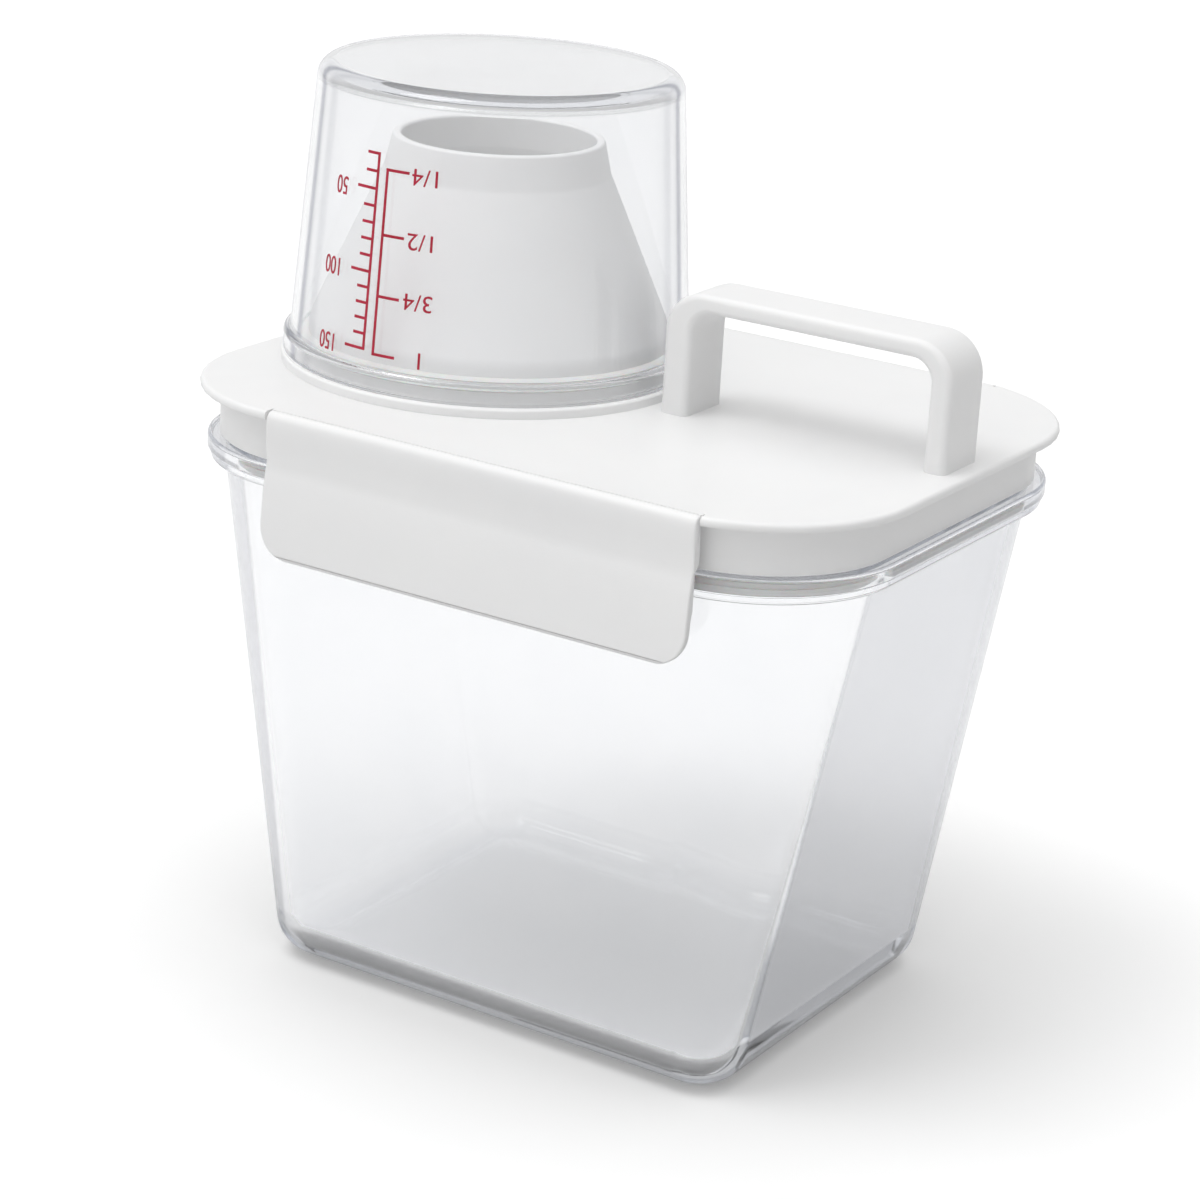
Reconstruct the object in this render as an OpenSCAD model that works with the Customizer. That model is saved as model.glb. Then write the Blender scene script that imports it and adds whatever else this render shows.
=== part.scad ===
// Dry-food keeper: a clear tapered tub, a white lid with an arch handle and two latch flaps,
// and a pour spout that stands under an upturned clear measuring cup.
// Origin: centre of the tub's underside. X runs along the long side towards the handle,
// the cup's scale faces -Y, and Z is up.

/* [Tub] */
// Height of the tub, to the top of its rim
tub_h = 100.4; // [70:0.2:160]
// Thickness of the tub's walls
tub_wall = 2.4; // [1.6:0.1:3]
// Thickness of the tub's floor
tub_floor = 3; // [2:0.1:5]
// Outside length of the tub where the walls leave the foot's rounding
foot_len = 101; // [85:1:120]
// Outside width of the tub where the walls leave the foot's rounding
foot_wid = 81; // [65:1:95]
// Corner radius of the foot in plan
foot_corner_r = 10; // [9:0.5:16]
// Rounding between the walls and the underside
foot_round_r = 8; // [4:0.5:9]
// Height of the rim band round the tub's mouth
rim_h = 4.4; // [3.4:0.2:7]
// How far the rim stands out from the wall
rim_reach = 3.2; // [2:0.1:4]
// Height of the rim's lower band, which steps in
rim_step_h = 1.7; // [1:0.1:2.4]
// How far the rim's lower band steps in
rim_step_in = 0.6; // [0.2:0.1:1.2]

/* [Lid] */
// Width of the lid plate
lid_wid = 109; // [98:1:130]
// Distance from the measuring cup's lip to the plate's end
spout_margin = 1.1; // [1.1:0.1:8]
// Corner radius of the lid plate in plan
lid_corner_r = 29; // [24:1:36]
// Thickness of the lid plate
plate_t = 1.6; // [1.4:0.1:3.2]
// Rounding along the plate's top edge
plate_edge_r = 0.8; // [0.3:0.1:0.9]
// How far the plate overhangs the tub's rim
rim_overhang = 1.5; // [1.2:0.1:2]
// How far the plate overhangs the skirt below it
skirt_overhang = 3.7; // [3.3:0.1:4.4]
// Height of the skirt between the rim and the plate
skirt_h = 8.4; // [5:0.2:14]
// Thickness of the skirt
skirt_t = 2; // [1.4:0.1:2.4]
// How deep the plug reaches below the top of the rim
plug_depth = 4.2; // [4:0.2:8]
// Thickness of the plug's wall
plug_t = 2; // [1.8:0.1:2.4]
// Gap between the plug and the tub's mouth, which the gasket closes
plug_gap = 0.9; // [0.8:0.1:1.4]
// Clearance between the gasket's lips and the tub's mouth
gasket_clearance = 0.3; // [0.2:0.05:0.5]

/* [Spout] */
// How far the flange on the plate stands out past the cup's lip
flange_reach = 0.3; // [0.2:0.1:1.2]
// Height of that flange
flange_h = 1.8; // [1.2:0.1:3]
// Gap between the collar and the inside of the cup, which the seal closes
collar_gap = 1.7; // [1.2:0.1:3]
// Height of the collar's straight part above the plate
collar_h = 9; // [7:0.2:14]
// Radius of the neck at its mouth
neck_r = 19.2; // [15:0.2:24]
// How much wider the neck is at its foot
neck_flare = 1; // [0:0.1:2]
// Height of the neck
neck_h = 6.2; // [3:0.2:10]
// Height of the spout's mouth above the plate
spout_h = 42.6; // [34:0.2:46]
// Wall of the spout
spout_wall = 1.6; // [1.2:0.1:2]
// How far inside the collar the guide tube stands that passes through the plate
guide_inset = 6.6; // [5.5:0.1:9]

/* [Measuring cup] */
// Height of the cup outside
cup_h = 53.5; // [47:0.5:70]
// Outside radius of the cup at its closed end
cup_end_r = 32.9; // [29:0.1:36]
// Outside radius of the cup above the lip at its mouth
cup_mouth_r = 36.7; // [33.5:0.1:42]
// Wall of the cup
cup_wall = 1.8; // [1.4:0.1:2]
// Thickness of the cup's closed end
cup_end_t = 2.4; // [1.6:0.1:4]
// Rounding of the closed end's outer edge
cup_round_r = 3.2; // [1:0.1:5]
// How far the lip stands out at the mouth
lip_reach = 1.2; // [0.6:0.1:2.4]
// Height of the lip
lip_h = 4; // [2:0.2:7]

/* [Scale on the cup] */
// First mark of the millilitre scale
ml_first = 30; // [10:10:50]
// Last mark of the millilitre scale
ml_last = 150; // [100:10:150]
// Millilitres that one whole measure of the quarter scale holds
whole_ml = 152; // [100:1:156]
// Bearing of the millilitre scale's upright, from +X
ml_bearing = -93.4; // [-100:0.2:-92]
// Bearing of the quarter scale's upright, from +X
quarter_bearing = -90; // [-91:0.2:-60]
// Width of the printed lines
line_w = 0.5; // [0.3:0.05:0.8]
// Length of a short tick
tick_len = 2.6; // [1.5:0.1:4]
// Length of a long tick
long_tick_len = 4.4; // [3:0.1:7]
// Thickness of the ink
ink_t = 0.1; // [0.05:0.01:0.2]

/* [Handle] */
// Gap between the measuring cup's lip and the handle's inner leg
handle_gap = 3; // [2:0.1:12]
// Length of the handle outside
handle_len = 56.5; // [40:0.5:90]
// Distance of the handle's outer leg from the plate's end
handle_inset = 3.6; // [3.4:0.1:4.8]
// Height of the handle above the plate
handle_h = 22.6; // [16:0.2:40]
// Depth of the handle strap
handle_depth = 12.8; // [8:0.2:20]
// Thickness of the inner leg, next to the cup
inner_leg_t = 5.4; // [3.4:0.1:7]
// Thickness of the outer leg
outer_leg_t = 4.2; // [3.4:0.1:6]
// Thickness of the strap across the top
strap_t = 3.4; // [2.4:0.1:6]
// Outer corner radius of the arch
arch_r = 7.5; // [4:0.5:12]
// Corner radius inside the arch
arch_inner_r = 4; // [1:0.5:6]

/* [Latch flaps] */
// Length of a flap along the lid
flap_len = 87; // [40:1:90]
// Shift of the flaps from the lid's centre, towards the handle
flap_shift = 3.3; // [0:0.1:4]
// Height of a flap
flap_h = 26; // [22:0.5:40]
// Radius of a flap's lower corners
flap_corner_r = 6; // [2:0.5:10]
// How far a flap's lower edge flares out past the plate
flap_flare = 1.3; // [0.8:0.1:3]
// Rounding along a flap's upper edge, next to the film hinge
flap_edge_r = 1.5; // [0.6:0.1:1.7]
// Width of the film hinge between the plate and a flap
film_w = 0.6; // [0.4:0.1:1]
// Thickness of the film hinge
film_t = 0.4; // [0.3:0.05:0.6]

/* [Hidden] */

$fn = 96;
eps = 0.01;
// Segments round the corners that are blended by hull()
hull_fn = 48;
// Air gap between the lid and what it rests on, and between the cup and the spout's flange
seat_gap = 0.1;

white = "whitesmoke";
clear_tint = [0.85, 0.9, 0.95, 0.35];
silicone = [0.9, 0.9, 0.88, 0.8];
red_ink = "firebrick";

// The plate is as long as what stands on it in a row: the cup over the spout, then the handle
lip_r = cup_mouth_r + lip_reach;
lid_len = spout_margin + 2 * lip_r + handle_gap + handle_len + handle_inset;
// Distance of the spout's axis from the lid's centre, towards the -X end
spout_offset = lid_len / 2 - spout_margin - lip_r;

// Levels
rim_z = tub_h - rim_h;
plate_z = tub_h + seat_gap + skirt_h;
top_z = plate_z + plate_t;

// Outlines of the tub's upper end, all measured in from the lid plate
wall_inset = rim_overhang + rim_reach;
inner_inset = wall_inset + tub_wall;
// The mouth is a straight land, a little wider than the tapered inside below it
mouth_ease = 0.25;
mouth_inset = inner_inset - mouth_ease;
plug_inset = mouth_inset + plug_gap;

// A rounded rectangle in plan, drawn in from the lid plate's outline by one inset
module lid_plan(inset) {
    plan(lid_len - 2 * inset, lid_wid - 2 * inset, lid_corner_r - inset);
}

module plan(len, wid, r) {
    square([len - 2 * r, wid], center = true);
    square([len, wid - 2 * r], center = true);
    at_corners(len, wid, r) circle(r);
}

module at_corners(len, wid, r) {
    for (x = [-1, 1], y = [-1, 1])
        translate([x * (len / 2 - r), y * (wid / 2 - r)]) children();
}

module lid_ring(outer_inset, inner_inset, z0, z1) {
    translate([0, 0, z0]) linear_extrude(z1 - z0) difference() {
        lid_plan(outer_inset);
        lid_plan(inner_inset);
    }
}

function arc(cx, cy, r, a0, a1, steps = 6) =
    [for (i = [0:steps]) let (a = a0 + (a1 - a0) * i / steps) [cx + r * cos(a), cy + r * sin(a)]];

// ---------------------------------------------------------------- tub

// A drafted block with a rounded foot; grow moves every wall and the underside inwards
module drafted_block(grow) {
    len = foot_len - 2 * grow;
    wid = foot_wid - 2 * grow;
    corner_r = foot_corner_r - grow;
    round_r = min(foot_round_r, corner_r) - 0.2;
    floor_z = grow > 0 ? tub_floor : 0;
    hull() {
        translate([0, 0, floor_z]) at_corners(len, wid, corner_r)
            rotate_extrude($fn = hull_fn)
                polygon(concat([[0, 0]],
                    arc(corner_r - round_r, round_r, round_r, -90, 0),
                    [[0, round_r]]));
        translate([0, 0, rim_z])
            at_corners(lid_len - 2 * (wall_inset + grow), lid_wid - 2 * (wall_inset + grow),
                    lid_corner_r - wall_inset - grow)
                cylinder(r = lid_corner_r - wall_inset - grow, h = 0.5, $fn = hull_fn);
    }
}

module tub() {
    color(clear_tint) difference() {
        union() {
            drafted_block(0);
            lid_ring(rim_overhang + rim_step_in, inner_inset + 0.5, rim_z, rim_z + rim_step_h + eps);
            lid_ring(rim_overhang, inner_inset + 0.5, rim_z + rim_step_h, tub_h);
        }
        drafted_block(tub_wall);
        translate([0, 0, rim_z + 0.2]) linear_extrude(rim_h + 1) lid_plan(mouth_inset);
    }
}

// ---------------------------------------------------------------- lid

// Groove round the plug that holds the gasket
groove_depth = 0.7;
gasket_h = 2.6;
gasket_z = tub_h - plug_depth + 0.8;

// Recess in the plate's edge where a flap hangs
recess_depth = 2.4;
recess_side_gap = 0.3;

guide_clearance = 0.1;

module plate_blank() {
    bottom_r = 0.4;
    translate([0, 0, plate_z]) hull() at_corners(lid_len, lid_wid, lid_corner_r)
        rotate_extrude($fn = hull_fn)
            polygon(concat([[0, 0]],
                arc(lid_corner_r - bottom_r, bottom_r, bottom_r, -90, 0, 2),
                arc(lid_corner_r - plate_edge_r, plate_t - plate_edge_r, plate_edge_r, 0, 90, 4),
                [[0, plate_t]]));
}

module flap_recess() {
    len = flap_len + 2 * recess_side_gap;
    translate([flap_shift - len / 2, -lid_wid / 2 - 1, plate_z - 1])
        cube([len, recess_depth + 1, plate_t + 2]);
}

module lid_panel() {
    color(white) difference() {
        union() {
            plate_blank();
            lid_ring(skirt_overhang, skirt_overhang + skirt_t, tub_h + seat_gap, plate_z + eps);
            lid_ring(plug_inset, plug_inset + plug_t, tub_h - plug_depth, plate_z + eps);
        }
        lid_ring(plug_inset - 1, plug_inset + groove_depth, gasket_z, gasket_z + gasket_h);
        flap_recess();
        mirror([0, 1, 0]) flap_recess();
        translate([-spout_offset, 0, plate_z - 1])
            cylinder(r = guide_r + guide_clearance, h = plate_t + 2);
        for (x = tenon_xs) translate([x, 0, plate_z + plate_t / 2])
            cube([tenon_t + 2 * tenon_clearance, tenon_wid + 2 * tenon_clearance, plate_t + 2],
                center = true);
    }
}

module lid_gasket() {
    fin_h = 0.6;
    lip_inset = mouth_inset + gasket_clearance;
    body_inset = plug_inset - 0.1;
    color(silicone) {
        lid_ring(body_inset, plug_inset + groove_depth, gasket_z, gasket_z + gasket_h);
        lid_ring(lip_inset, body_inset + eps, gasket_z, gasket_z + fin_h);
        lid_ring(lip_inset, body_inset + eps, gasket_z + gasket_h - fin_h, gasket_z + gasket_h);
    }
}

// ---------------------------------------------------------------- spout

// Heights on the spout count from the plate's top
flange_r = lip_r + flange_reach;
collar_r = cup_mouth_r - cup_wall - collar_gap;
guide_r = collar_r - guide_inset;
shoulder_r = 1;
cone_foot_r = collar_r - shoulder_r;
cone_foot_h = collar_h + shoulder_r;
cone_top_h = spout_h - neck_h;
neck_foot_r = neck_r + neck_flare;
cone_top_r = neck_foot_r + 0.4;
mouth_edge_r = 0.5;
snap_reach = 0.9;
snap_h = 1.8;
seal_groove_depth = 0.8;
seal_h = 2.4;
seal_z = flange_h + 2;

// The cone's outside radius at a height
function cone_r(h) = cone_foot_r
    + (cone_top_r - cone_foot_r) * (h - cone_foot_h) / (cone_top_h - cone_foot_h);
// Height at which the guide tube's outside meets the cone's inside
guide_top_h = cone_foot_h + (cone_top_h - cone_foot_h)
    * (cone_foot_r - spout_wall - guide_r) / (cone_foot_r - cone_top_r);

module spout_section() {
    difference() {
        polygon(concat(
            [[guide_r, 0], [flange_r - 0.3, 0], [flange_r, 0.3], [flange_r, flange_h - 0.4],
                [flange_r - 0.4, flange_h], [collar_r, flange_h]],
            arc(collar_r - shoulder_r, collar_h, shoulder_r, 0, 90),
            [[cone_top_r, cone_top_h], [neck_foot_r, cone_top_h + 0.4]],
            arc(neck_r - mouth_edge_r, spout_h - mouth_edge_r, mouth_edge_r, 0, 90, 3),
            [[neck_r - spout_wall, spout_h], [neck_foot_r - spout_wall, cone_top_h],
                [cone_r(guide_top_h) - spout_wall - 0.01, guide_top_h]]));
        // pocket between the collar and the guide tube, open below
        polygon([[guide_r, -1], [collar_r - spout_wall, -1], [collar_r - spout_wall, collar_h],
            [cone_foot_r - spout_wall, cone_foot_h], [guide_r, guide_top_h]]);
        translate([collar_r - seal_groove_depth, seal_z]) square([2, seal_h]);
    }
    guide_section();
}

// The guide tube, with the bead that snaps under the plate
module guide_section() {
    bead_top = -plate_t - 0.1;
    polygon([[guide_r - spout_wall, bead_top - snap_h], [guide_r, bead_top - snap_h],
        [guide_r + snap_reach, bead_top - snap_h / 2], [guide_r + snap_reach, bead_top],
        [guide_r, bead_top], [guide_r, guide_top_h + 0.2],
        [guide_r - spout_wall, guide_top_h + spout_wall]]);
}

module pour_spout() {
    color(white) translate([-spout_offset, 0, top_z]) rotate_extrude() spout_section();
}

module spout_seal() {
    lip = 0.5;
    fit_r = cup_inner_r(cup_foot_z + seal_h + 2) - 0.3;
    color(silicone) translate([-spout_offset, 0, top_z + seal_z]) rotate_extrude()
        polygon([[collar_r - seal_groove_depth, 0], [collar_r + 0.2, 0], [fit_r, lip],
            [collar_r + 0.3, 2 * lip], [collar_r + 0.3, seal_h - 2 * lip],
            [fit_r, seal_h - lip], [collar_r + 0.2, seal_h], [collar_r - seal_groove_depth, seal_h]]);
}

// ---------------------------------------------------------------- measuring cup

cup_foot_z = top_z + flange_h + seat_gap;
cup_top_z = cup_foot_z + cup_h;
cup_inner_end_z = cup_top_z - cup_end_t;
inner_round_r = max(cup_round_r - cup_wall, 0.6);
// Change of the cup's radius for each millimetre down from its closed end
cup_draft = (cup_mouth_r - cup_end_r) / (cup_h - lip_h);

function cup_outer_r(z) = cup_end_r + cup_draft * (cup_top_z - z);
function cup_inner_r(z) = cup_outer_r(z) - cup_wall;

module cup_section() {
    polygon(concat(
        [[cup_inner_r(cup_foot_z), cup_foot_z], [lip_r - 0.5, cup_foot_z], [lip_r, cup_foot_z + 0.5],
            [lip_r, cup_foot_z + lip_h - 1], [lip_r - 0.6, cup_foot_z + lip_h - 0.2],
            [cup_outer_r(cup_foot_z + lip_h), cup_foot_z + lip_h + 0.4]],
        arc(cup_outer_r(cup_top_z - cup_round_r) - cup_round_r, cup_top_z - cup_round_r,
            cup_round_r, 0, 90, 8),
        [[0, cup_top_z], [0, cup_inner_end_z]],
        arc(cup_inner_r(cup_inner_end_z - inner_round_r) - inner_round_r,
            cup_inner_end_z - inner_round_r, inner_round_r, 90, 0, 4)));
}

module measuring_cup() {
    color(clear_tint) translate([-spout_offset, 0, 0]) rotate_extrude() cup_section();
}

// Volume in millilitres between the closed end and a depth below it
function volume_ml(depth) =
    let (r0 = cup_inner_r(cup_inner_end_z), r1 = r0 + cup_draft * depth)
    PI * depth * (r0 * r0 + r0 * r1 + r1 * r1) / 3 / 1000;
// Depth that holds a volume, by halving a bracket
function depth_for(ml, lo = 0, hi = cup_h, steps = 20) =
    steps == 0 ? (lo + hi) / 2 :
    let (mid = (lo + hi) / 2)
    volume_ml(mid) < ml ? depth_for(ml, mid, hi, steps - 1) : depth_for(ml, lo, mid, steps - 1);
function mark_z(ml) = cup_inner_end_z - depth_for(ml);

// A bar of ink at a bearing: from one tangential place to another, and one level to another
module ink_bar(bearing, t0, t1, z0, z1) {
    rotate([0, 0, bearing]) translate([cup_end_r / 2, t0, z0])
        cube([cup_mouth_r, t1 - t0, z1 - z0]);
}

module tick(bearing, len, ml) {
    z = mark_z(ml);
    t = len < 0 ? len : 0;
    ink_bar(bearing, t, t + abs(len), z - line_w / 2, z + line_w / 2);
}

module cup_scale() {
    quarters = [for (q = [1:4]) whole_ml * q / 4];
    color(red_ink) translate([-spout_offset, 0, 0]) intersection() {
        difference() {
            printed_cone(ink_t);
            printed_cone(0);
        }
        union() {
            for (ml = [ml_first:10:ml_last])
                tick(ml_bearing, ml % 50 == 0 ? -long_tick_len : -tick_len, ml);
            ink_bar(ml_bearing, -line_w / 2, line_w / 2,
                mark_z(ml_last) - line_w / 2, mark_z(ml_first) + line_w / 2);
            for (ml = quarters) tick(quarter_bearing, long_tick_len, ml);
            ink_bar(quarter_bearing, -line_w / 2, line_w / 2,
                mark_z(quarters[3]) - line_w / 2, mark_z(quarters[0]) + line_w / 2);
        }
    }
}

// The cup's outside, thickened, over the height that carries the print
module printed_cone(extra) {
    z0 = cup_foot_z + lip_h + 0.5;
    z1 = cup_top_z - cup_round_r;
    margin = extra > 0 ? 0 : 1;
    translate([0, 0, z0 - margin])
        cylinder(r1 = cup_outer_r(z0 - margin) + extra, r2 = cup_outer_r(z1 + margin) + extra,
            h = z1 - z0 + 2 * margin);
}

// ---------------------------------------------------------------- handle

handle_x0 = -spout_offset + lip_r + handle_gap;
handle_x1 = handle_x0 + handle_len;
tenon_wid = 8;
tenon_clearance = 0.1;
barb_reach = 0.5;
barb_h = 1.6;
// The outer tenon passes between the skirt and the plug, and the inner one is as thick
tenon_slack = 0.45;
skirt_inner_inset = skirt_overhang + skirt_t;
tenon_t = plug_inset - skirt_inner_inset - tenon_slack;
tenon_xs = [handle_x0 + inner_leg_t / 2, lid_len / 2 - (skirt_inner_inset + plug_inset) / 2];

module arch(x0, x1, h, r) {
    translate([x0, 0]) square([x1 - x0, h - r]);
    translate([x0 + r, 0]) square([x1 - x0 - 2 * r, h]);
    for (x = [x0 + r, x1 - r]) translate([x, h - r]) circle(r);
}

module tenon(x) {
    length = plate_t + 0.1;
    translate([x, 0, top_z - length / 2]) cube([tenon_t, tenon_wid, length + eps], center = true);
    translate([x, 0, top_z - length - barb_h / 2])
        cube([tenon_t, tenon_wid, barb_h + eps], center = true);
    for (y = [-1, 1]) translate([x, y * (tenon_wid / 2 + barb_reach / 2 - eps), top_z - length - barb_h / 2])
        cube([tenon_t, barb_reach, barb_h], center = true);
}

module carry_handle() {
    color(white) {
        translate([0, 0, top_z]) rotate([90, 0, 0])
            linear_extrude(handle_depth, center = true) difference() {
                arch(handle_x0, handle_x1, handle_h, arch_r);
                translate([0, -1])
                    arch(handle_x0 + inner_leg_t, handle_x1 - outer_leg_t,
                        handle_h - strap_t + 1, arch_inner_r);
            }
        for (x = tenon_xs) tenon(x);
    }
}

// ---------------------------------------------------------------- latch flaps

// Flap sections: first how far a point stands out from the plate's edge, then its level
// counted from the plate's top. The waist lies over the skirt and the belly over the rim.
rim_top_d = plate_t + skirt_h + seat_gap;
hinge_in = recess_depth - film_w;
rim_clear_in = rim_overhang - 0.4;

module flap_section() {
    polygon([for (p = concat(
        [[-hinge_in, 0]],
        arc(-flap_edge_r, -flap_edge_r, flap_edge_r, 90, 0),
        [[0.1, -2.5], [0, -5], [-0.35, -rim_top_d + 1.1],
            [0.1, -rim_top_d - 0.9], [0.5, -rim_top_d - 3.4], [0.9, -(rim_top_d + flap_h) / 2],
            [flap_flare, -flap_h + 0.7], [flap_flare - 0.3, -flap_h + 0.1],
            [flap_flare - 0.8, -flap_h], [flap_flare - 1.4, -flap_h + 0.4]],
        [[-0.7, -(rim_top_d + flap_h) / 2], [-rim_clear_in, -rim_top_d - rim_h - 1.6],
            [-rim_clear_in, -rim_top_d - 0.3], [-rim_clear_in - 0.1, -rim_top_d + 0.5],
            [-2.1, -rim_top_d + 1.5], [-2.2, -rim_top_d + 3], [-2, -3.6], [-hinge_in, -1.8]]))
        [-lid_wid / 2 - p[0], p[1]]]);
}

module flap_blank() {
    rotate([90, 0, 90]) translate([0, 0, flap_shift - flap_len / 2])
        linear_extrude(flap_len) flap_section();
}

// Front view of a flap, square above and with two round lower corners
module flap_front() {
    r = flap_corner_r;
    translate([flap_shift - flap_len / 2, -flap_h + r]) square([flap_len, flap_h - r]);
    translate([flap_shift - flap_len / 2 + r, -flap_h]) square([flap_len - 2 * r, flap_h]);
    for (x = [-1, 1]) translate([flap_shift + x * (flap_len / 2 - r), -flap_h + r]) circle(r);
}

module front_latch_flap() {
    color(white) translate([0, 0, top_z]) intersection() {
        flap_blank();
        translate([0, -lid_wid / 2 + flap_h, 0]) rotate([90, 0, 0])
            linear_extrude(2 * flap_h) flap_front();
    }
}

module rear_latch_flap() {
    mirror([0, 1, 0]) front_latch_flap();
}

module front_hinge_film() {
    color(white)
        translate([flap_shift - flap_len / 2, -lid_wid / 2 + hinge_in, top_z - film_t])
            cube([flap_len, film_w, film_t]);
}

module rear_hinge_film() {
    mirror([0, 1, 0]) front_hinge_film();
}

tub();
lid_panel();
lid_gasket();
pour_spout();
spout_seal();
measuring_cup();
cup_scale();
carry_handle();
front_latch_flap();
rear_latch_flap();
front_hinge_film();
rear_hinge_film();
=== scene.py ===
import math

import bpy
import bmesh
import numpy as np
from mathutils import Matrix, Vector

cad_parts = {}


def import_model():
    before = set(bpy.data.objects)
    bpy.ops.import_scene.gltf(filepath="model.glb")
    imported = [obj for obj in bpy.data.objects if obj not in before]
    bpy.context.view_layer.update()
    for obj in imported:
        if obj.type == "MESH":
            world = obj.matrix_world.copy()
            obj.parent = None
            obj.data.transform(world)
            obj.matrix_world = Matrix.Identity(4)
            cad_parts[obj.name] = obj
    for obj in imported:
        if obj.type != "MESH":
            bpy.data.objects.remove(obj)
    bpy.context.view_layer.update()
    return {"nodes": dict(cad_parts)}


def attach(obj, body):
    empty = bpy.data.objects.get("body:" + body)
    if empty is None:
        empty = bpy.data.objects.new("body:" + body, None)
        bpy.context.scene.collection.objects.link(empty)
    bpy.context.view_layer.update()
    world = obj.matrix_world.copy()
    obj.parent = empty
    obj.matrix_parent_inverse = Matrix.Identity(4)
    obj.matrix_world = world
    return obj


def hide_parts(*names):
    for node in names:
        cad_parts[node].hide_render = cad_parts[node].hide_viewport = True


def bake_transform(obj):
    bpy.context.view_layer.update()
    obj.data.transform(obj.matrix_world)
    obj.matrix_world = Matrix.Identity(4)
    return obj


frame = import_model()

nodes = frame["nodes"]
MM = 0.001

# ---------------------------------------------------------------- sizes, in millimetres
# The same values as in the part's source

tub_h = 100.4
tub_wall = 2.4
tub_floor = 3
foot_len = 101
foot_wid = 81
foot_corner_r = 10
foot_round_r = 7.8
rim_h = 4.4
rim_reach = 3.2
rim_step_h = 1.7
rim_step_in = 0.6
rim_overhang = 1.5
rim_z = tub_h - rim_h
wall_inset = rim_overhang + rim_reach
mouth_ease = 0.25

lid_len = 140
lid_wid = 109
lid_corner_r = 29
plate_t = 1.6
top_z = 110.5
recess_depth = 2.4

spout_x = -31
flange_r = 38.2
flange_h = 1.8
collar_r = 33.2
collar_h = 9
neck_r = 19.2
neck_flare = 1
neck_h = 6.2
spout_h = 42.6
spout_wall = 1.6
guide_r = 26.6
shoulder_r = 1

cup_foot_z = 112.4
cup_h = 53.5
cup_end_r = 32.9
cup_mouth_r = 36.7
cup_wall = 1.8
cup_end_t = 2.4
cup_round_r = 3.2
lip_reach = 1.2
lip_h = 4
ink_t = 0.1
cup_top_z = cup_foot_z + cup_h
cup_draft = (cup_mouth_r - cup_end_r) / (cup_h - lip_h)

handle_x0 = 9.9
handle_x1 = 66.4
handle_h = 22.6
handle_depth = 12.8
inner_leg_t = 5.4
outer_leg_t = 4.2
strap_t = 3.4
arch_r = 7.5
arch_inner_r = 4

flap_len = 87
flap_shift = 3.3
film_w = 0.6
film_t = 0.4

# ---------------------------------------------------------------- fineness of the meshes

TURN_SEGMENTS = 192      # round the spout's axis
CORNER_STEPS = 20        # round each corner of the tub
FOOT_STEPS = 9           # round the tub's foot
WALL_STEPS = 10          # up the tub's wall
FILM_STEPS = 12          # across a film hinge
OWN_SHARP = math.radians(50)     # edges from this angle up stay sharp, on the scene's own pieces
CAD_SHARP = math.radians(34)     # and on the CAD pieces


# ---------------------------------------------------------------- mesh helpers

def new_object(name, data):
    piece = bpy.data.objects.new(name, data)
    bpy.context.scene.collection.objects.link(piece)
    return piece


def even_normals(piece, weight=50):
    weighted = piece.modifiers.new("even_normals", "WEIGHTED_NORMAL")
    weighted.weight = weight
    weighted.keep_sharp = True


def mesh_object(name, verts, faces, material, body, slot, replaced):
    """A new piece from points in millimetres, with its faces turned outwards."""
    mesh = bpy.data.meshes.new(name)
    mesh.from_pydata([tuple(MM * c for c in v) for v in verts], [], faces)
    bm = bmesh.new()
    bm.from_mesh(mesh)
    bmesh.ops.remove_doubles(bm, verts=bm.verts, dist=1e-7)
    bmesh.ops.recalc_face_normals(bm, faces=bm.faces)
    for face in bm.faces:
        face.smooth = True
    for edge in bm.edges:
        edge.smooth = edge.calc_face_angle(0) < OWN_SHARP
    bm.to_mesh(mesh)
    bm.free()
    piece = new_object(name, mesh)
    piece.data.materials.append(material)
    even_normals(piece, 60)
    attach(piece, body)
    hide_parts(replaced)
    return piece


def rounded(points, closed=False, step=12.0):
    """An outline whose corners are rounded: each point is (a, b, radius of its corner).

    A radius is cut back where the sides next to it are too short. step is in degrees.
    """
    out = []
    count = len(points)
    for i, (a, b, r) in enumerate(points):
        here = Vector((a, b))
        is_end = not closed and i in (0, count - 1)
        if r == 0 or is_end:
            out.append((a, b))
            continue
        before = Vector(points[i - 1][:2]) - here
        after = Vector(points[(i + 1) % count][:2]) - here
        to_before = before.normalized()
        to_after = after.normalized()
        half = to_before.angle(to_after) / 2
        reach = min(r / math.tan(half), 0.49 * before.length, 0.49 * after.length)
        r = reach * math.tan(half)
        centre = here + (to_before + to_after).normalized() * (r / math.sin(half))
        start = here + to_before * reach - centre
        end = here + to_after * reach - centre
        turn = start.angle_signed(end)
        steps = max(2, math.ceil(abs(math.degrees(turn)) / step))
        for k in range(steps + 1):
            spin = Matrix.Rotation(-turn * k / steps, 2)
            out.append(tuple(centre + spin @ start))
    return out


def revolve(name, profile, *finish):
    """A closed (radius, height) outline turned about the spout's axis.

    finish is a new piece's material, body, slot (which is not used) and the node that it replaces.
    """
    verts = []
    rings = []
    for r, z in profile:
        if r < 1e-4:
            rings.append([len(verts)] * TURN_SEGMENTS)
            verts.append((spout_x, 0, z))
            continue
        rings.append(list(range(len(verts), len(verts) + TURN_SEGMENTS)))
        for k in range(TURN_SEGMENTS):
            a = 2 * math.pi * k / TURN_SEGMENTS
            verts.append((spout_x + r * math.cos(a), r * math.sin(a), z))
    faces = []
    for here, after in zip(rings, rings[1:] + rings[:1]):
        for k in range(TURN_SEGMENTS):
            n = (k + 1) % TURN_SEGMENTS
            # On the axis, where points fall together, a triangle or nothing is left
            face = list(dict.fromkeys((here[k], here[n], after[n], after[k])))
            if len(face) > 2:
                faces.append(face)
    return mesh_object(name, verts, faces, *finish)


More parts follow.
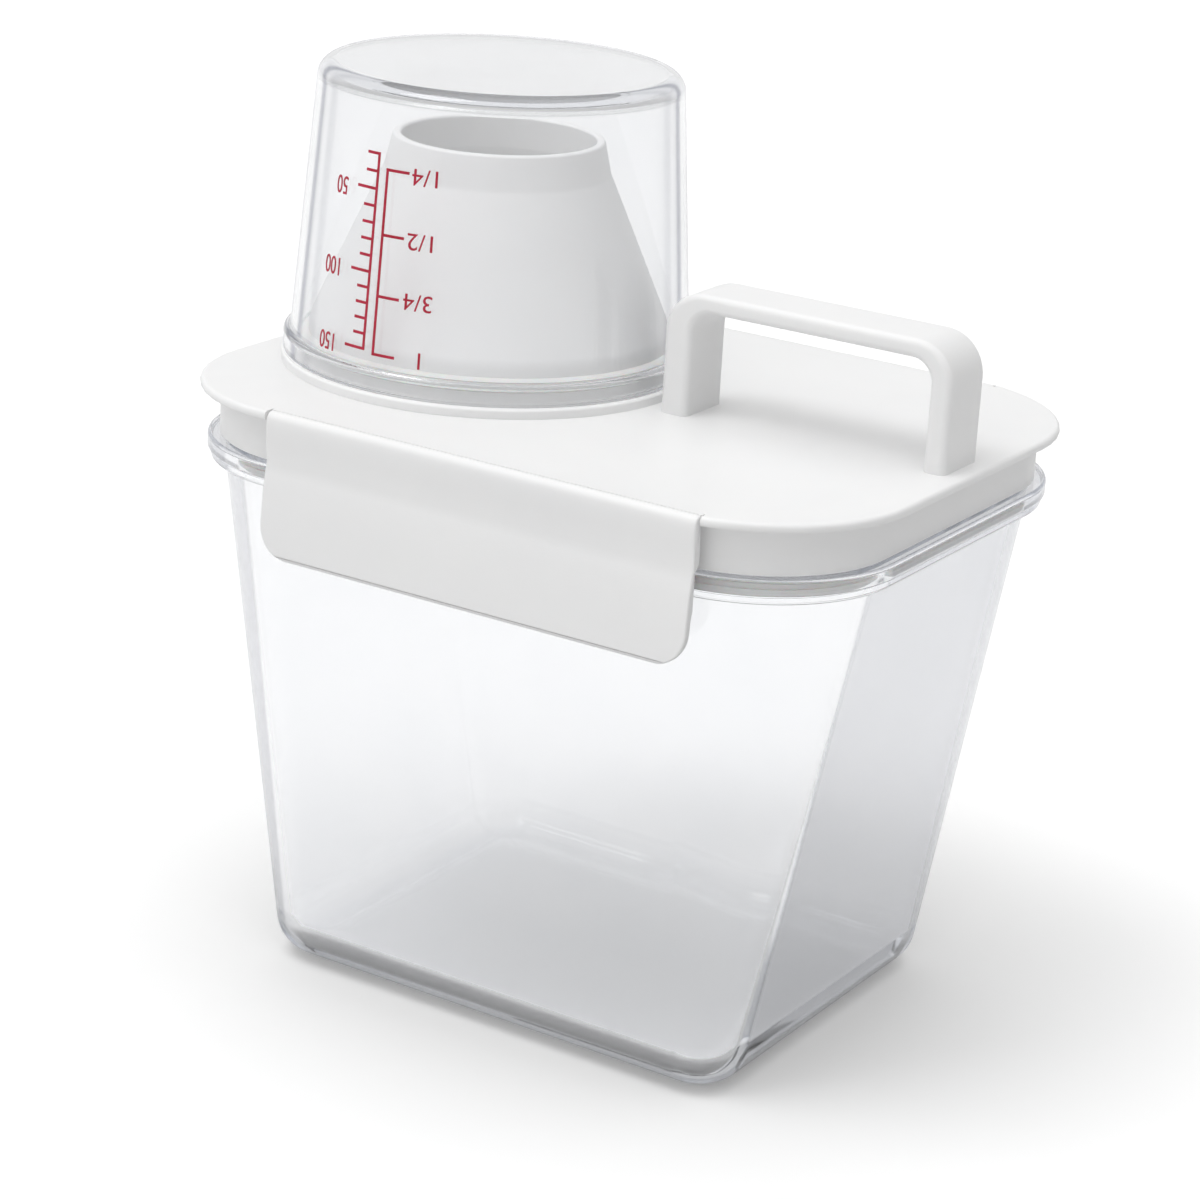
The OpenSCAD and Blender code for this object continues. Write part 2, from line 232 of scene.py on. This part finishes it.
def loft(name, rows, *finish, ends):
    """Faces between loops of points; the two end loops are closed by a fan or a polygon.

    finish is a new piece's material, body, slot (which is not used) and the node that it replaces.
    """
    count = len(rows[0])
    verts = [tuple(p) for row in rows for p in row]
    faces = []
    for i in range(len(rows) - 1):
        for k in range(count):
            n = (k + 1) % count
            j = i + 1
            faces.append((i * count + k, i * count + n, j * count + n, j * count + k))
    for i in (0, len(rows) - 1):
        if ends == "fan":
            verts.append(tuple(np.mean(rows[i], axis=0)))
            middle = len(verts) - 1
            for k in range(count):
                faces.append((i * count + k, i * count + (k + 1) % count, middle))
        else:
            faces.append(tuple(range(i * count, (i + 1) * count)))
    return mesh_object(name, verts, faces, *finish)


# ---------------------------------------------------------------- materials

class Nodes:
    """The node tree of a material or the world, with short ways to add and join nodes."""

    def __init__(self, owner, output="ShaderNodeOutputMaterial"):
        self.owner = owner
        owner.use_nodes = True
        self.tree = owner.node_tree
        self.tree.nodes.clear()
        self.output = self.add(output)

    def add(self, kind, **settings):
        node = self.tree.nodes.new(kind)
        for key, value in settings.items():
            setattr(node, key, value)
        return node

    def put(self, value, socket):
        """Set a socket to a number or a colour, or join it to another node's output."""
        if isinstance(value, bpy.types.NodeSocket):
            self.tree.links.new(value, socket)
        elif isinstance(value, tuple):
            socket.default_value = (*value, 1)
        else:
            socket.default_value = value

    def maths(self, operation, value_a, value_b):
        node = self.add("ShaderNodeMath", operation=operation)
        self.put(value_a, node.inputs[0])
        self.put(value_b, node.inputs[1])
        return node.outputs[0]

    def noise(self, scale, detail, stretch=(1, 1, 1)):
        place = self.add("ShaderNodeTexCoord")
        mapping = self.add("ShaderNodeMapping")
        mapping.inputs["Scale"].default_value = stretch
        noise = self.add("ShaderNodeTexNoise")
        self.put(scale, noise.inputs["Scale"])
        self.put(detail, noise.inputs["Detail"])
        self.put(place.outputs["Object"], mapping.inputs["Vector"])
        self.put(mapping.outputs["Vector"], noise.inputs["Vector"])
        return noise.outputs["Fac"]

    def ranged(self, value, low, high, from_low=0.0, from_high=1.0, way="LINEAR"):
        """The value taken from one range to another, and held at its ends."""
        node = self.add("ShaderNodeMapRange", interpolation_type=way)
        self.put(value, node.inputs["Value"])
        self.put(from_low, node.inputs["From Min"])
        self.put(from_high, node.inputs["From Max"])
        self.put(low, node.inputs["To Min"])
        self.put(high, node.inputs["To Max"])
        return node.outputs["Result"]

    def drift(self, scale, detail, low=0.0, high=1.0, spread=(0.3, 0.7)):
        """A value that drifts from low to high with a cloudy noise, over a spread of the noise."""
        return self.ranged(self.noise(scale, detail), low, high, *spread)

    def curve(self, value, points):
        """A smooth curve through the points (value, result)."""
        node = self.add("ShaderNodeFloatCurve")
        line = node.mapping.curves[0]
        for point in points[1:-1]:
            line.points.new(*point)
        line.points[0].location = points[0]
        line.points[-1].location = points[-1]
        node.mapping.update()
        self.put(value, node.inputs["Value"])
        return node.outputs[0]

    def mixed(self, factor, colour_a, colour_b):
        node = self.add("ShaderNodeMix", data_type="RGBA")
        self.put(factor, node.inputs["Factor"])
        self.put(colour_a, node.inputs[6])
        self.put(colour_b, node.inputs[7])
        return node.outputs[2]

    def worn_edges_and_highlight(self):
        # Paler convex edges: rubbing and a painted highlight
        geometry = self.add("ShaderNodeNewGeometry")
        return self.ranged(geometry.outputs["Pointiness"], 0.0, 1.0, 0.54, 0.62)

    def light_rays(self):
        """1 on the rays that carry lamps' and bounced light, 0 on those that show the piece."""
        path = self.add("ShaderNodeLightPath")
        return self.maths("MAXIMUM", path.outputs["Is Shadow Ray"], path.outputs["Is Diffuse Ray"])

    def principled(self, **values):
        """A shader that is the material's surface until it is blended with another."""
        node = self.add("ShaderNodeBsdfPrincipled")
        for key, value in values.items():
            node.inputs[key.replace("_", " ")].default_value = value
        self.put(node.outputs["BSDF"], self.output.inputs["Surface"])
        return node

    def blend_shaders(self, factor, shader_a, shader_b):
        surface = self.add("ShaderNodeMixShader")
        self.put(factor, surface.inputs[0])
        self.put(shader_a.outputs[0], surface.inputs[1])
        self.put(shader_b.outputs[0], surface.inputs[2])
        self.put(surface.outputs[0], self.output.inputs["Surface"])

    def finish(self, shader, colour, roughness, relief, depth, strength):
        """Give a shader its colour, its roughness and a relief, depth metres deep."""
        bump = self.add("ShaderNodeBump")
        self.put(relief, bump.inputs["Height"])
        self.put(depth, bump.inputs["Distance"])
        self.put(strength, bump.inputs["Strength"])
        self.put(colour, shader.inputs["Base Color"])
        self.put(roughness, shader.inputs["Roughness"])
        self.put(bump.outputs["Normal"], shader.inputs["Normal"])


# White plastic's tones: two that drift into each other, and that of the edges, rubbed paler and
# with a painted highlight
WHITE_TONES = ((0.905, 0.905, 0.907), (0.925, 0.925, 0.923), (0.945, 0.945, 0.94))


def white_plastic(name, passing, painted_light=0.0):
    """Satin polypropylene: nearly white, a fine moulded grain, edges a little paler, rubbed and
    with a painted highlight.

    Thin walls let a share of the lamps' and the bounced light through: passing.
    """
    m = Nodes(bpy.data.materials.new(name))
    shader = m.principled(IOR=1.49, Subsurface_Weight=0.1, Subsurface_Scale=0.002)
    shader.inputs["Subsurface Radius"].default_value = (1.0, 0.95, 0.9)
    # A lift of every tone, as painted light for a piece that sits in shade
    low, high, rubbed_and_highlight = (tuple(value + painted_light for value in tone) for tone in WHITE_TONES)
    body = m.mixed(m.drift(45, 4), low, high)
    m.finish(shader, m.mixed(m.worn_edges_and_highlight(), body, rubbed_and_highlight), m.drift(160, 4, 0.34, 0.46),
             m.noise(2600, 2), 0.00002, 0.6)
    m.blend_shaders(m.ranged(m.light_rays(), 0.0, passing), shader,
                    m.add("ShaderNodeBsdfTransparent"))
    return m.owner


# Times that a ray may be turned by clear plastic before it is let out
MOST_TURNS = 4.5
# The height in millimetres below the rim over which light comes to pass undimmed
RIM_FADE = 22
UNDIMMED = (0.98, 0.98, 0.98)
# The colour of the painted shade along clear plastic's edges
PAINTED_EDGE_SHADE = (0.14, 0.15, 0.2)
THICK_TINT = (0.6, 0.64, 0.72)
# Painted shade on clear plastic, by its slope to the line of sight, from face on to edge on. A wall
# is painted as a grey band inside the outline with a fine line along it.
TUB_PAINTED_EDGE_SHADE = (
    (0.0, 0.0), (0.53, 0.03), (0.57, 0.5), (0.62, 0.48), (0.82, 0.5), (0.9, 0.5), (0.95, 0.8),
    (1.0, 0.9),
)
CUP_PAINTED_EDGE_SHADE = (
    (0.0, 0.07), (0.3, 0.11), (0.5, 0.2), (0.57, 0.45), (0.62, 0.25), (0.66, 0.4), (0.7, 0.9),
    (0.74, 0.3), (0.78, 0.08), (0.86, 0.08), (0.91, 0.8), (1.0, 0.95),
)


def clear_plastic(name, shade, grazed, painted_edge_lines, wave):
    """Polished styrene: clear, blue-grey in thick sections, with painted grey shade along its
    edges, slightly rippled.

    Lamps and bounced light shine straight through it, dimmed to shade face on and to grazed
    where they graze it, except near the rim. A ray that has been turned often inside a wall is
    let out undimmed, because such walls glow and aren't black.
    """
    m = Nodes(bpy.data.materials.new(name))
    shader = m.principled(IOR=1.53, Transmission_Weight=1.0)
    slant = m.add("ShaderNodeLayerWeight")
    slant.inputs["Blend"].default_value = 0.5
    facing = slant.outputs["Facing"]
    turns = m.add("ShaderNodeLightPath").outputs["Ray Depth"]

    deep = m.ranged(turns, 0.0, 1.0, MOST_TURNS, MOST_TURNS + 0.1)
    place = m.add("ShaderNodeSeparateXYZ")
    m.put(m.add("ShaderNodeTexCoord").outputs["Object"], place.inputs[0])
    near_rim = m.ranged(place.outputs["Z"], 0.0, 1.0, MM * (rim_z - RIM_FADE), MM * rim_z)
    dimmed = m.mixed(m.ranged(facing, 0.0, 1.0, 0.35, 0.95), (shade,) * 3, (grazed,) * 3)
    passing = m.add("ShaderNodeBsdfTransparent")
    m.put(m.mixed(m.maths("MAXIMUM", near_rim, deep), dimmed, UNDIMMED), passing.inputs["Color"])
    m.blend_shaders(m.maths("MAXIMUM", m.light_rays(), deep), shader, passing)

    haze = m.drift(60, 3, spread=(0.35, 0.65))
    face_on = m.mixed(haze, (0.975, 0.979, 0.985), (0.987, 0.989, 0.993))
    # Painted shade: grey lines along the edges by their slope, only where a ray meets the plastic
    # first
    unturned = m.ranged(turns, 1.0, 0.0, 0.4, 0.6)
    painted_lines = m.maths("MULTIPLY", m.curve(facing, painted_edge_lines), unturned)
    m.finish(shader, m.mixed(painted_lines, face_on, PAINTED_EDGE_SHADE),
             m.drift(220, 3, 0.015, 0.045, spread=(0.35, 0.7)),
             m.noise(28, 2, stretch=(1, 1, 0.45)), 0.0004, wave)

    tint = m.add("ShaderNodeVolumeAbsorption")
    m.put(THICK_TINT, tint.inputs["Color"])
    m.put(14, tint.inputs["Density"])
    m.put(tint.outputs[0], m.output.inputs["Volume"])
    return m.owner


def silicone():
    """Matt, slightly translucent silicone."""
    m = Nodes(bpy.data.materials.new("silicone"))
    shader = m.principled(IOR=1.41, Subsurface_Weight=0.35, Subsurface_Scale=0.002)
    m.finish(shader, m.mixed(m.drift(70, 3), (0.8, 0.8, 0.785), (0.86, 0.86, 0.845)),
             m.drift(300, 3, 0.5, 0.68), m.noise(1800, 2), 0.00003, 0.5)
    m.blend_shaders(m.ranged(m.light_rays(), 0.0, 0.6), shader,
                    m.add("ShaderNodeBsdfTransparent"))
    return m.owner


def red_ink():
    """Screen-printed ink: a little thinner here and there."""
    m = Nodes(bpy.data.materials.new("red_ink"))
    thin = m.drift(700, 3, spread=(0.35, 0.7))
    m.finish(m.principled(IOR=1.45), m.mixed(thin, (0.42, 0.004, 0.025), (0.52, 0.012, 0.05)),
             m.drift(900, 2, 0.32, 0.5), m.noise(3000, 2), 0.00001, 0.5)
    return m.owner


WHITE = white_plastic("white_plastic", 0.12)
LID_WHITE = white_plastic("lid_plastic", 0.4)
# The spout's plastic is painted lighter, standing in for light it lacks where it sits in shade
# inside the cup
SPOUT_WHITE = white_plastic("spout_plastic", 0.88, painted_light=0.035)
CLEAR_TUB = clear_plastic("clear_plastic", 0.75, 0.07, TUB_PAINTED_EDGE_SHADE, 0.06)
CLEAR_CUP = clear_plastic("clear_cup_plastic", 1.0, 0.95, CUP_PAINTED_EDGE_SHADE, 0.08)
SILICONE = silicone()
INK = red_ink()


# ---------------------------------------------------------------- tub

def corner_points():
    """For each point round a rounded rectangle: its corner's signs and its direction from it."""
    corners = ((1, 1, 0), (-1, 1, 90), (-1, -1, 180), (1, -1, 270))
    points = [(sign_x, sign_y, math.radians(first + 90 * k / CORNER_STEPS))
              for sign_x, sign_y, first in corners for k in range(CORNER_STEPS + 1)]
    sign_x, sign_y, angle = np.array(points).T
    return sign_x, sign_y, np.cos(angle), np.sin(angle)


SIGN_X, SIGN_Y, OUT_X, OUT_Y = corner_points()


def plan_row(centre_x, centre_y, radius, z):
    """One loop round a rounded rectangle: its corners' centres and radius, and its level."""
    x = SIGN_X * centre_x + radius * OUT_X
    y = SIGN_Y * centre_y + radius * OUT_Y
    return np.stack([x, y, np.broadcast_to(z, x.shape)], axis=1)


def lid_row(inset, z):
    """A loop drawn in from the lid plate's outline."""
    return plan_row(lid_len / 2 - lid_corner_r, lid_wid / 2 - lid_corner_r,
                    lid_corner_r - inset, z)


def wall_rows(grow, floor_z, round_r):
    """Loops from the underside's flat, round the foot and up the drafted wall to the rim.

    grow is how far in from the tub's outside they run. The wall's straight lines leave the
    foot's rounding where they are tangent to it.
    """
    centre_x = foot_len / 2 - foot_corner_r
    centre_y = foot_wid / 2 - foot_corner_r
    flat_r = foot_corner_r - grow - round_r
    top_x = lid_len / 2 - lid_corner_r
    top_y = lid_wid / 2 - lid_corner_r
    top_r = lid_corner_r - wall_inset - grow
    shift_x = SIGN_X * (top_x - centre_x)
    shift_y = SIGN_Y * (top_y - centre_y)
    across = shift_x * OUT_X + shift_y * OUT_Y + top_r - flat_r
    rise = rim_z - floor_z - round_r
    tangent = np.arccos(round_r / np.hypot(across, rise)) - np.arctan2(rise, across)
    rows = []
    for k in range(FOOT_STEPS + 1):
        angle = math.pi / 2 + (tangent - math.pi / 2) * k / FOOT_STEPS
        rows.append(plan_row(centre_x, centre_y, flat_r + round_r * np.cos(angle),
                             floor_z + round_r * (1 - np.sin(angle))))
    foot = rows[-1]
    head = plan_row(top_x, top_y, top_r, rim_z)
    rows += [foot + (head - foot) * k / WALL_STEPS for k in range(1, WALL_STEPS + 1)]
    return rows


def tub_shell():
    """Up the outside, over the rim and down the inside. The wall rows end where the rim starts."""
    mouth_inset = wall_inset + tub_wall - mouth_ease
    mouth_z = rim_z + 0.2
    step_inset = rim_overhang + rim_step_in
    step_z = rim_z + rim_step_h
    rim = rounded([
        (wall_inset, rim_z - 1, 0),
        (wall_inset, rim_z, 0.25),
        (step_inset, rim_z, 0.5),
        (step_inset, step_z, 0.2),
        (rim_overhang, step_z, 0.45),
        (rim_overhang, tub_h, 0.7),
        (mouth_inset, tub_h, 0.6),
        (mouth_inset, mouth_z, 0.3),
        (wall_inset + tub_wall, mouth_z, 0),
    ])
    least_corner_r = 0.2
    outer = wall_rows(0, 0, foot_round_r)
    inner = wall_rows(tub_wall, tub_floor, foot_corner_r - tub_wall - least_corner_r)
    rows = outer[:-1] + [lid_row(inset, z) for inset, z in rim[1:]] + inner[::-1][1:]
    loft("tub_shell", rows, CLEAR_TUB, "tub", "clear_plastic", "tub", ends="fan")


# ---------------------------------------------------------------- cup and spout

def cup_outer_r(z):
    return cup_end_r + cup_draft * (cup_top_z - z)


def cup_shell():
    lip_r = cup_mouth_r + lip_reach
    lip_top = cup_foot_z + lip_h
    end_z = cup_top_z - cup_end_t
    profile = rounded([
        (0, cup_top_z, 0),
        (cup_end_r, cup_top_z, cup_round_r),
        (cup_outer_r(lip_top), lip_top, 0.5),
        (lip_r, lip_top - 0.2, 0.9),
        (lip_r, cup_foot_z, 0.6),
        (cup_outer_r(cup_foot_z) - cup_wall, cup_foot_z, 0.5),
        (cup_outer_r(end_z) - cup_wall, end_z, cup_round_r - cup_wall),
        (0, end_z, 0),
    ], step=9)
    revolve("cup_shell", profile, CLEAR_CUP, "cup", "clear_plastic", "measuring_cup")


def spout_body():
    """The flange, the collar with the seal's groove, the cone, the neck and the guide tube.

    Heights are over the lid's top. The guide tube ends in a bead under the plate.
    """
    foot_r = collar_r - shoulder_r
    foot_h = collar_h + shoulder_r
    neck_foot_h = spout_h - neck_h
    neck_foot_r = neck_r + neck_flare
    cone_top_r = neck_foot_r + 0.4
    slope = (foot_r - cone_top_r) / (neck_foot_h - foot_h)
    guide_inner_r = guide_r - spout_wall
    guide_h = foot_h + (foot_r - spout_wall - guide_r) / slope
    groove_r = collar_r - 0.8
    groove_h = flange_h + 2
    groove_top_h = groove_h + 2.4
    bead_reach = 0.9
    bead_h = -plate_t - 0.1
    bead_foot_h = bead_h - 2 * bead_reach
    outline = rounded([
        (guide_r, 0, 0),
        (flange_r, 0, 0.2),
        (flange_r, flange_h, 0.5),
        (collar_r, flange_h, 0.3),
        (collar_r, groove_h, 0),
        (groove_r, groove_h, 0),
        (groove_r, groove_top_h, 0),
        (collar_r, groove_top_h, 0),
        (collar_r, collar_h - 0.6, 7),
        (cone_top_r, neck_foot_h, 4),
        (neck_r, spout_h, 0.6),
        (neck_r - spout_wall, spout_h, 0.5),
        (neck_foot_r - spout_wall, neck_foot_h, 2),
        (guide_inner_r, guide_h + 1, 2),
        (guide_inner_r, bead_foot_h, 0.3),
        (guide_r, bead_foot_h, 0.3),
        (guide_r + bead_reach, bead_h - bead_reach, 0.2),
        (guide_r + bead_reach, bead_h, 0.1),
        (guide_r, bead_h, 0),
    ], closed=True, step=10)
    profile = [(r, top_z + h) for r, h in outline]
    revolve("spout_body", profile, SPOUT_WHITE, "lid", "white_plastic", "pour_spout")


# ---------------------------------------------------------------- handle

def arch_side(x0, x1, h, r):
    """Points over an arch, up one leg, round two corners and down the other, as (x, height)."""
    legs, arcs, strap = 8, 14, 12
    turns = [math.pi / 2 * k / arcs for k in range(arcs)]
    points = [(x0, (h - r) * k / legs) for k in range(legs)]
    points += [(x0 + r - r * math.cos(a), h - r + r * math.sin(a)) for a in turns]
    points += [(x0 + r + (x1 - x0 - 2 * r) * k / strap, h) for k in range(strap)]
    points += [(x1 - r + r * math.sin(a), h - r + r * math.cos(a)) for a in turns]
    points += [(x1, (h - r) * (1 - k / legs)) for k in range(legs + 1)]
    return np.array(points)


def handle_body():
    """The arch as a loft of rounded sections between its outer and its inner line."""
    edge_r = 1.3
    half = handle_depth / 2
    outer = arch_side(handle_x0, handle_x1, handle_h, arch_r)
    inner = arch_side(handle_x0 + inner_leg_t, handle_x1 - outer_leg_t,
                      handle_h - strap_t, arch_inner_r)
    rows = []
    for out_point, in_point in zip(outer, inner):
        across = out_point - in_point
        thick = float(np.hypot(*across))
        unit = across / thick
        section = rounded([(0, -half, edge_r), (thick, -half, edge_r),
                           (thick, half, edge_r), (0, half, edge_r)], closed=True, step=15)
        rows.append([(in_point[0] + unit[0] * a, b, top_z + in_point[1] + unit[1] * a)
                     for a, b in section])
    loft("handle_body", rows, WHITE, "lid", "white_plastic", "carry_handle", ends="polygon")


# ---------------------------------------------------------------- film hinges

def film(name, side, node):
    """The thin web between the plate and a flap, cut into fine rows across."""
    y_in = lid_wid / 2 - recess_depth
    x0 = flap_shift - flap_len / 2
    x1 = flap_shift + flap_len / 2
    z0 = top_z - film_t
    rows = []
    for k in range(FILM_STEPS + 1):
        y = side * (y_in + film_w * k / FILM_STEPS)
        rows.append([(x0, y, top_z), (x1, y, top_z), (x1, y, z0), (x0, y, z0)])
    piece = loft(name, rows, WHITE, "lid", "white_plastic", node, ends="polygon")
    piece.parent = None
    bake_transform(piece)


# ---------------------------------------------------------------- figures on the cup

FIGURE_SHARE = 0.7       # a figure's height as a share of its font size
# Height and stretch of a row's figures, and for each its text, bearing in degrees and level
FIGURE_ROWS = (
    (3.2, 0.72, (("50", -107.7, 147.2), ("100", -108.5, 132.8), ("150", -107.9, 119.3))),
    (2.95, 1.08, (("1/4", -76.9, 151.2), ("1/2", -77.1, 140.0), ("3/4", -77.1, 129.5),
                  ("1", -75.6, 119.4))),
)


def figure(text, bearing, z, height, stretch):
    """Plain figures laid round the cup, upside down, because the cup stands on its mouth."""
    curve = bpy.data.curves.new("figure", "FONT")
    curve.body = text
    curve.align_x = "CENTER"
    curve.align_y = "CENTER"
    curve.size = height / FIGURE_SHARE
    curve.extrude = ink_t / 2
    source = new_object("figure", curve)
    bpy.context.view_layer.update()
    shaped = source.evaluated_get(bpy.context.evaluated_depsgraph_get())
    mesh = bpy.data.meshes.new_from_object(shaped)
    bpy.data.objects.remove(source)
    slope = math.atan(cup_draft)
    for v in mesh.vertices:
        x = -v.co.x * stretch
        level = z - v.co.y * math.cos(slope)
        radius = cup_outer_r(level) + ink_t / 2 + v.co.z
        angle = math.radians(bearing) + x / cup_outer_r(z)
        v.co = (MM * (spout_x + radius * math.cos(angle)), MM * radius * math.sin(angle),
                MM * level)
    return mesh


def scale_figures():
    """All the figures of the two scales, as one printed piece."""
    bm = bmesh.new()
    for height, stretch, figures in FIGURE_ROWS:
        for text, bearing, z in figures:
            bm.from_mesh(figure(text, bearing, z, height, stretch))
    mesh = bpy.data.meshes.new("scale_figures")
    bm.to_mesh(mesh)
    bm.free()
    mesh.materials.clear()
    mesh.materials.append(INK)
    for polygon in mesh.polygons:
        polygon.use_smooth = False
        polygon.material_index = 0
    piece = new_object("scale_figures", mesh)
    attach(piece, "cup")


# ---------------------------------------------------------------- CAD pieces that stay

def smooth_by_angle_group():
    """Geometry nodes that shade faces smooth and keep edges over an angle sharp."""
    group = bpy.data.node_groups.new("smooth_by_angle", "GeometryNodeTree")
    for way in ("INPUT", "OUTPUT"):
        group.interface.new_socket("Geometry", in_out=way, socket_type="NodeSocketGeometry")
    start = group.nodes.new("NodeGroupInput")
    end = group.nodes.new("NodeGroupOutput")
    faces = group.nodes.new("GeometryNodeSetShadeSmooth")
    faces.domain = "FACE"
    edges = group.nodes.new("GeometryNodeSetShadeSmooth")
    edges.domain = "EDGE"
    angle = group.nodes.new("GeometryNodeInputMeshEdgeAngle")
    small = group.nodes.new("FunctionNodeCompare")
    small.operation = "LESS_THAN"
    small.inputs["B"].default_value = CAD_SHARP
    group.links.new(start.outputs[0], faces.inputs["Geometry"])
    group.links.new(faces.outputs["Geometry"], edges.inputs["Geometry"])
    group.links.new(angle.outputs["Unsigned Angle"], small.inputs["A"])
    group.links.new(small.outputs["Result"], edges.inputs["Shade Smooth"])
    group.links.new(edges.outputs["Geometry"], end.inputs[0])
    return group


SMOOTH = smooth_by_angle_group()


def round_edges(piece, width):
    """Join flat faces that were cut up, and round the edges between the rest."""
    plain = piece.modifiers.new("plain_faces", "DECIMATE")
    plain.decimate_type = "DISSOLVE"
    plain.angle_limit = math.radians(0.5)
    bevel = piece.modifiers.new("round_edges", "BEVEL")
    bevel.width = width * MM
    bevel.segments = 4
    bevel.limit_method = "ANGLE"
    bevel.angle_limit = math.radians(60)
    bevel.use_clamp_overlap = False


def finish_cad(name, material, edge_r=0.0):
    """A CAD piece as packed, with its own finish and, where asked, rounded edges."""
    piece = nodes[name]
    piece.data.materials.clear()
    piece.data.materials.append(material)
    for polygon in piece.data.polygons:
        polygon.material_index = 0
    custom = piece.data.attributes.get("custom_normal")
    if custom:
        piece.data.attributes.remove(custom)
    weld = piece.modifiers.new("weld", "WELD")
    weld.merge_threshold = 2e-6
    if edge_r:
        round_edges(piece, edge_r)
    smooth = piece.modifiers.new("smooth", "NODES")
    smooth.node_group = SMOOTH
    even_normals(piece)


# ---------------------------------------------------------------- the object

tub_shell()
cup_shell()
spout_body()
handle_body()
film("front_film", -1, "front_hinge_film")
film("rear_film", 1, "rear_hinge_film")
scale_figures()
finish_cad("lid_panel", LID_WHITE)
finish_cad("front_latch_flap", WHITE, edge_r=0.35)
finish_cad("rear_latch_flap", WHITE, edge_r=0.35)
finish_cad("lid_gasket", SILICONE)
finish_cad("spout_seal", SILICONE)
finish_cad("cup_scale", INK)


# ---------------------------------------------------------------- floor, light and camera
# Lengths are in metres from here on

FLOOR_HALF = 4.0
FLOOR_DROP = 0.0003
FLOOR_TONE = (0.985, 0.985, 0.985)
# What the floor sends back to the matt surfaces over it
FLOOR_BOUNCE = (0.6, 0.6, 0.6)
# How strongly the floor glows, on rays of other kinds and on the camera's own
FLOOR_GLOW = (0.02, 0.13)

# The room's light on matt surfaces: a level everywhere, and broad lobes round some directions,
# each from where it starts to where it is full, as the cosine of the angle
AMBIENT = 0.25
STUDIO = (
    ((0, 0, 1), 0.6, 0.97, 1.2),
    ((-0.6, -0.8, 0), 0.2, 0.9, 0.52),
    ((0.7, -0.7, 0.15), 0.2, 0.9, 0.26),
)
# What gloss and clear plastic show: white near the horizon and straight up, grey between, as
# strengths at the sine of the elevation
CEILING = ((0.0, 1.0), (0.25, 1.0), (0.45, 0.7), (0.65, 0.7), (0.85, 0.75), (1.0, 1.0))
# The share of it that they show
GLOSS = 0.85


def floor():
    """A pale floor that glows a little for the camera, and sends back less light than it shows."""
    mesh = bpy.data.meshes.new("floor")
    corners = [(FLOOR_HALF * x, FLOOR_HALF * y, 0) for x, y in ((-1, -1), (1, -1), (1, 1), (-1, 1))]
    mesh.from_pydata(corners, [], [(0, 1, 2, 3)])
    piece = new_object("floor", mesh)
    piece.location.z = -FLOOR_DROP
    m = Nodes(bpy.data.materials.new("floor"))
    path = m.add("ShaderNodeLightPath")
    matt = m.add("ShaderNodeBsdfDiffuse")
    m.put(FLOOR_TONE, matt.inputs["Color"])
    glow = m.add("ShaderNodeEmission")
    m.put((1, 1, 1), glow.inputs["Color"])
    m.put(m.ranged(path.outputs["Is Camera Ray"], *FLOOR_GLOW), glow.inputs["Strength"])
    both = m.add("ShaderNodeAddShader")
    m.put(matt.outputs[0], both.inputs[0])
    m.put(glow.outputs[0], both.inputs[1])
    bounce = m.add("ShaderNodeBsdfDiffuse")
    m.put(FLOOR_BOUNCE, bounce.inputs["Color"])
    m.blend_shaders(path.outputs["Is Diffuse Ray"], both, bounce)
    mesh.materials.append(m.owner)


def world():
    """A white room for the camera; for the object, a studio, pale above and darker at its sides."""
    m = Nodes(bpy.data.worlds.new("studio"), "ShaderNodeOutputWorld")
    bpy.context.scene.world = m.owner
    path = m.add("ShaderNodeLightPath")
    direction = m.add("ShaderNodeTexCoord").outputs["Generated"]
    studio = AMBIENT
    for towards, start, full, strength in STUDIO:
        cosine = m.add("ShaderNodeVectorMath", operation="DOT_PRODUCT")
        cosine.inputs[1].default_value = towards
        m.put(direction, cosine.inputs[0])
        lobe = m.ranged(cosine.outputs["Value"], 0.0, strength, start, full, way="SMOOTHSTEP")
        studio = m.maths("ADD", lobe, studio)
    height = m.add("ShaderNodeSeparateXYZ")
    m.put(direction, height.inputs[0])
    ceiling = m.curve(height.outputs["Z"], CEILING)
    share = m.ranged(path.outputs["Is Glossy Ray"], 1.0, GLOSS)
    seen = m.maths("MAXIMUM", m.maths("MULTIPLY", ceiling, share), path.outputs["Is Camera Ray"])
    lights = []
    for strength in (seen, studio):
        light = m.add("ShaderNodeBackground")
        m.put((1, 1, 1), light.inputs["Color"])
        m.put(strength, light.inputs["Strength"])
        lights.append(light)
    m.blend_shaders(path.outputs["Is Diffuse Ray"], *lights)


def softbox(name, place, aim, size, power):
    """A square lamp that faces a point."""
    light = bpy.data.lights.new(name, "AREA")
    light.shape = "RECTANGLE"
    light.size = size
    light.size_y = size
    light.energy = power
    lamp = new_object(name, light)
    lamp.location = place
    lamp.rotation_euler = (Vector(aim) - Vector(place)).to_track_quat("-Z", "Y").to_euler()


def camera():
    """The camera fitted to the object's outlines, slightly rolled."""
    azimuth = math.radians(31.68)
    elevation = math.radians(18.18)
    roll = math.radians(3.40)
    target = Vector((0, -0.0075, 0.0846))
    distance = 0.6056
    back = Vector((math.sin(azimuth) * math.cos(elevation),
                   -math.cos(azimuth) * math.cos(elevation), math.sin(elevation)))
    right = (-back).cross(Vector((0, 0, 1))).normalized()
    up = right.cross(-back)
    side = right * math.cos(roll) + up * math.sin(roll)
    head = up * math.cos(roll) - right * math.sin(roll)
    lens = bpy.data.cameras.new("camera")
    lens.sensor_width = 36
    lens.lens = 100.65
    lens.shift_y = -0.05
    lens.clip_start = 0.01
    eye = new_object("camera", lens)
    turned = Matrix((side, head, back)).transposed().to_4x4()
    eye.matrix_world = Matrix.Translation(target + back * distance) @ turned
    bpy.context.scene.camera = eye


floor()
world()
softbox("key", (-1.0, -1.3, 3.3), (0, 0, 0.08), 1.6, 25.0)
camera()
scene = bpy.context.scene
scene.view_settings.view_transform = "Standard"
